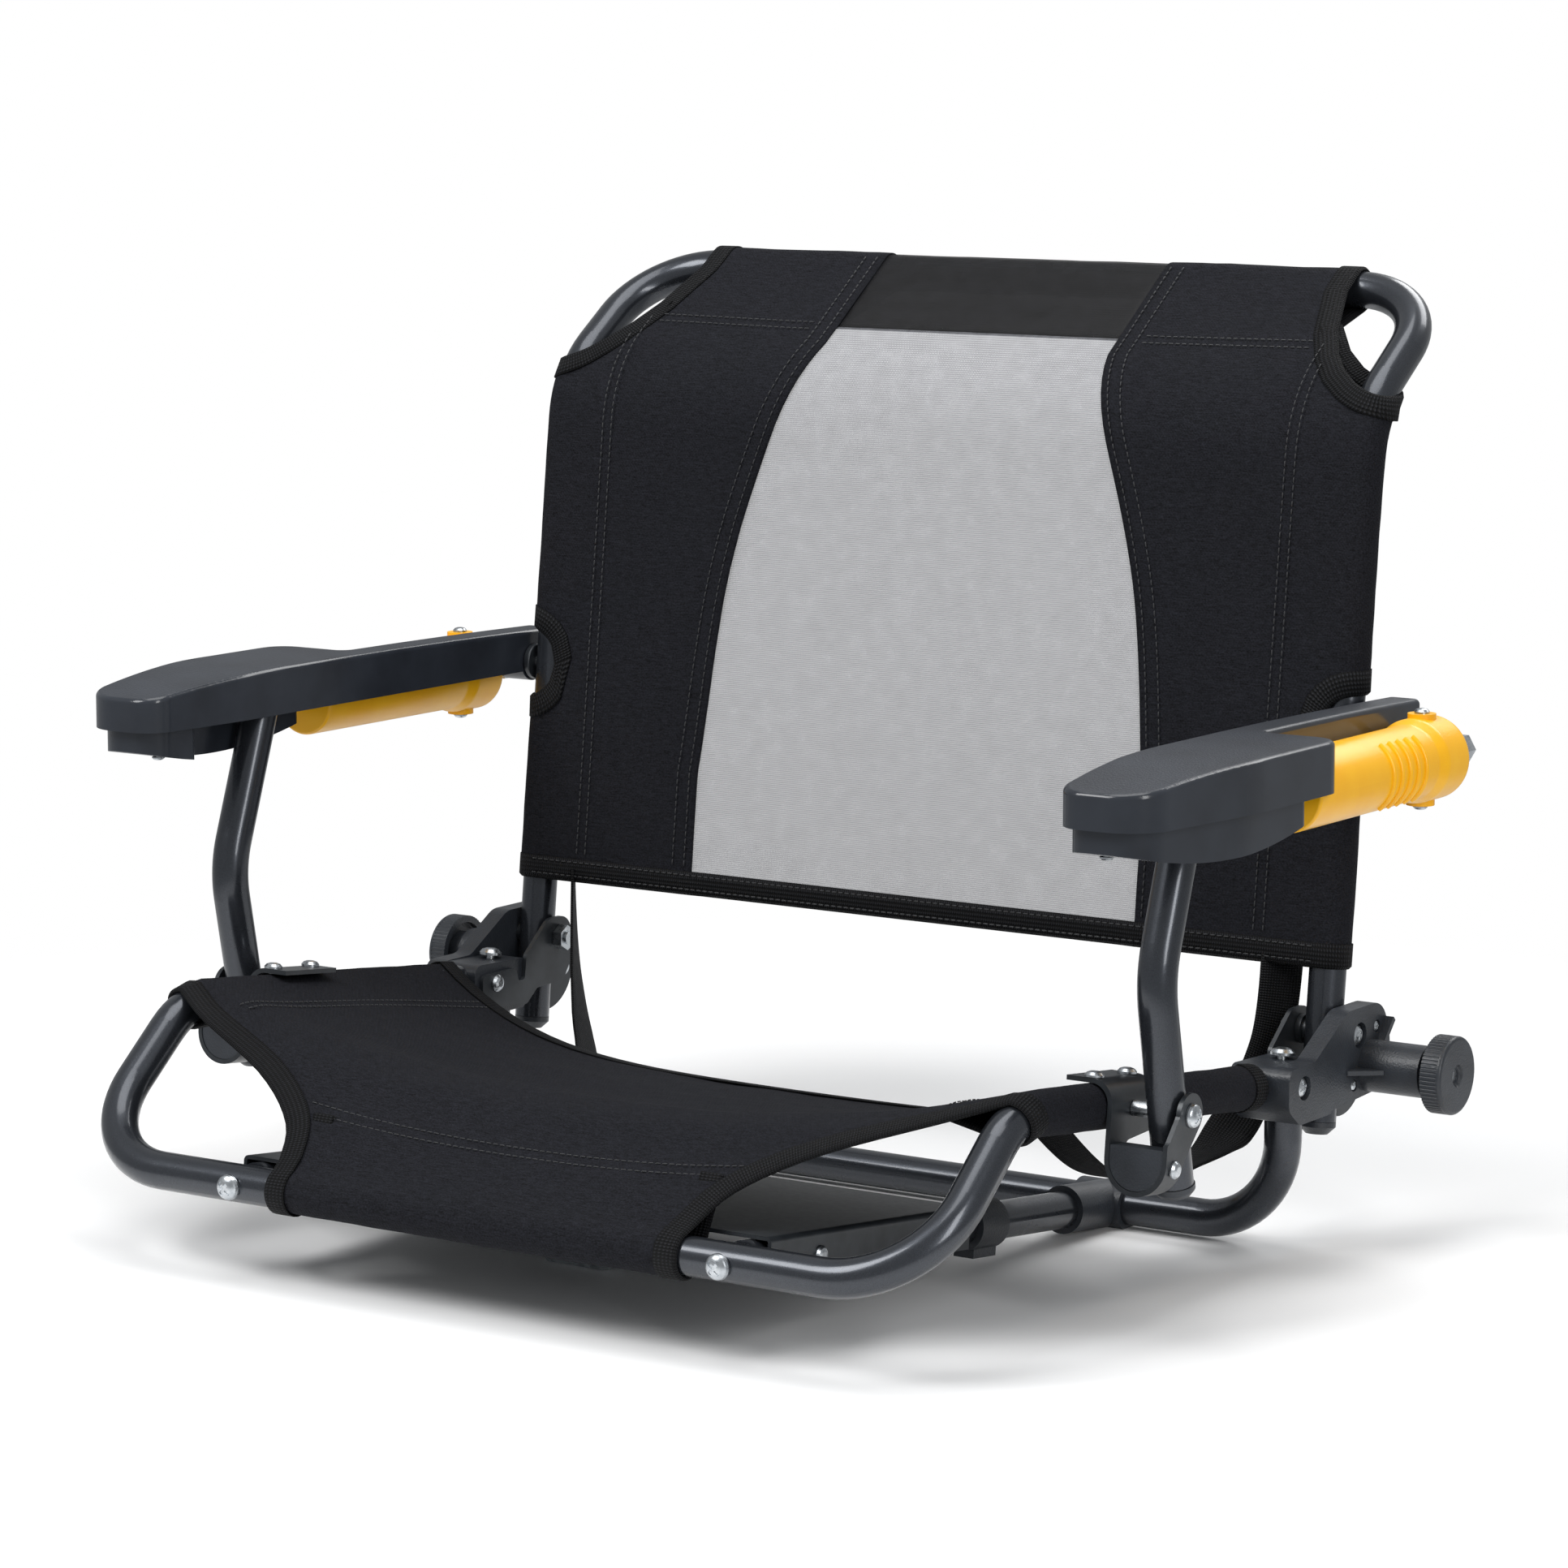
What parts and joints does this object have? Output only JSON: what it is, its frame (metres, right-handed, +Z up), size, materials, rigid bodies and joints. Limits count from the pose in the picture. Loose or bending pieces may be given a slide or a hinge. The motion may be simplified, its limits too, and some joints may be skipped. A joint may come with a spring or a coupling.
{
  "type": "rocking stadium seat",
  "caption": "Folding stadium seat with a tube frame, fabric seat and mesh-centred back, level armrests over yellow spring housings, clamp knobs and a bench hook.",
  "frame": {"origin": "on the ground under the middle of the bounding box", "axes": "+X to the sitter's left across the seat, +Y to the rear, +Z up"},
  "size_m": [0.686, 0.5493, 0.5099],
  "materials": {
    "frame_tube": "satin charcoal paint",
    "housing_plastic": "moulded, fine grain",
    "black_steel": "black paint",
    "zinc": "bright zinc",
    "arm_plastic": "gloss sides, pebbled top",
    "yellow_plastic": "gloss yellow",
    "fabric": "black twill",
    "mesh": "open knit mesh",
    "webbing": "ribbed webbing"
  },
  "bodies": {
    "seat": {"seat_loop_tube": "frame_tube", "rear_base_tube": "frame_tube", "lower_rail_tubes": "frame_tube", "lower_rail_sleeves": "housing_plastic", "base_saddles": "housing_plastic", "under_seat_pan": "black_steel", "hook_retainer": "zinc", "hinge_pivot_bolts": "zinc", "hinge_screws": "zinc", "post_pivot_bolts": "zinc", "bracket_fasteners": "zinc", "frame_fasteners": "zinc", "seat_sling": "fabric", "restraint_straps": "webbing", "hinge_housing_right": "housing_plastic", "hinge_housing_left": "housing_plastic", "hinge_plate_right": "black_steel", "hinge_plate_left": "black_steel", "post_bracket_right": "black_steel", "post_bracket_left": "black_steel", "post_stop_block_right": "housing_plastic", "post_stop_block_left": "housing_plastic"},
    "hinge_bush": {"hinge_bushes": "black_steel", "quadrant_bolts": "zinc", "recline_quadrant_right": "black_steel", "recline_quadrant_left": "black_steel"},
    "back": {"back_tube": "frame_tube", "upright_caps": "housing_plastic", "arm_pivot_bolts": "zinc", "back_sling": "fabric", "back_mesh": "mesh"},
    "hook": {"bench_hook": "zinc"},
    "knuckle_right": {"arm_knuckle_right": "black_steel"},
    "arm_right": {"armrest_top_right": "arm_plastic", "armrest_lower_right": "arm_plastic", "spring_housing_right": "yellow_plastic", "armrest_screws_right": "zinc", "rock_spring_right": "zinc"},
    "drawbar_right": {"drawbar_right": "zinc", "drawbar_nut_right": "zinc"},
    "post_right": {"arm_post_right": "frame_tube", "post_foot_cap_right": "housing_plastic", "post_top_pin_right": "zinc"},
    "knob_right": {"clamp_knob_right": "housing_plastic", "clamp_screw_right": "zinc"},
    "knuckle_left": {"arm_knuckle_left": "black_steel"},
    "arm_left": {"armrest_top_left": "arm_plastic", "armrest_lower_left": "arm_plastic", "spring_housing_left": "yellow_plastic", "armrest_screws_left": "zinc", "rock_spring_left": "zinc"},
    "drawbar_left": {"drawbar_left": "zinc", "drawbar_nut_left": "zinc"},
    "post_left": {"arm_post_left": "frame_tube", "post_foot_cap_left": "housing_plastic", "post_top_pin_left": "zinc"},
    "knob_left": {"clamp_knob_left": "housing_plastic", "clamp_screw_left": "zinc"}
  },
  "joints": [
    {"name": "fold", "type": "hinge", "parent": "seat", "child": "hinge_bush", "pos_m": [0, 0.1395, 0.111], "axis": [-1, 0, 0], "range_deg": [-80, 0], "deforming": ["restraint_straps"]},
    {"name": "rock", "type": "hinge", "parent": "hinge_bush", "child": "back", "pos_m": [0, 0.1395, 0.111], "axis": [-1, 0, 0], "range_deg": [0, 15], "stiffness_Nm_per_rad": 70, "springref_deg": -3.44, "deforming": ["rock_spring_right", "rock_spring_left"]},
    {"name": "hook_turn", "type": "hinge", "parent": "seat", "child": "hook", "pos_m": [0, -0.1405, 0.03], "axis": [0, 0, 1], "range_deg": [0, 90]},
    {"name": "post_right", "type": "hinge", "parent": "seat", "child": "post_right", "pos_m": [0.295, -0.0865, 0.111], "axis": [-1, 0, 0], "range_deg": [-80, 0]},
    {"name": "knuckle_rock_right", "type": "hinge", "parent": "back", "child": "knuckle_right", "pos_m": [0.28, 0.15761, 0.26997], "axis": [-1, 0, 0], "range_deg": [-12.84, 0]},
    {"name": "arm_fold_right", "type": "hinge", "parent": "knuckle_right", "child": "arm_right", "pos_m": [0.28, 0.15761, 0.26997], "axis": [-1, 0, 0], "range_deg": [0, 80]},
    {"name": "drawbar_slide_right", "type": "slide", "parent": "arm_right", "child": "drawbar_right", "axis": [0, -1, 0], "range_m": [0, 0.04077]},
    {"name": "knob_turn_right", "type": "hinge", "parent": "seat", "child": "knob_right", "pos_m": [0.3, 0.1511, 0.093], "axis": [1, 0, 0], "range_deg": [-180, 180]},
    {"name": "post_left", "type": "hinge", "parent": "seat", "child": "post_left", "pos_m": [-0.295, -0.0865, 0.111], "axis": [-1, 0, 0], "range_deg": [-80, 0]},
    {"name": "knuckle_rock_left", "type": "hinge", "parent": "back", "child": "knuckle_left", "pos_m": [-0.28, 0.15761, 0.26997], "axis": [-1, 0, 0], "range_deg": [-12.84, 0]},
    {"name": "arm_fold_left", "type": "hinge", "parent": "knuckle_left", "child": "arm_left", "pos_m": [-0.28, 0.15761, 0.26997], "axis": [-1, 0, 0], "range_deg": [0, 80]},
    {"name": "drawbar_slide_left", "type": "slide", "parent": "arm_left", "child": "drawbar_left", "axis": [0, -1, 0], "range_m": [0, 0.04077]},
    {"name": "knob_turn_left", "type": "hinge", "parent": "seat", "child": "knob_left", "pos_m": [-0.3, 0.1511, 0.093], "axis": [-1, 0, 0], "range_deg": [-180, 180]}
  ],
  "couplings": [
    {"joint": "post_right", "follows": "fold", "ratio": 1},
    {"joint": "knuckle_rock_right", "follows": "rock", "ratio": -0.85525},
    {"joint": "arm_fold_right", "follows": "fold", "ratio": -1},
    {"joint": "drawbar_slide_right", "follows": "rock", "m_per_rad": 0.15554},
    {"joint": "post_left", "follows": "fold", "ratio": 1},
    {"joint": "knuckle_rock_left", "follows": "rock", "ratio": -0.85525},
    {"joint": "arm_fold_left", "follows": "fold", "ratio": -1},
    {"joint": "drawbar_slide_left", "follows": "rock", "m_per_rad": 0.15554}
  ]
}
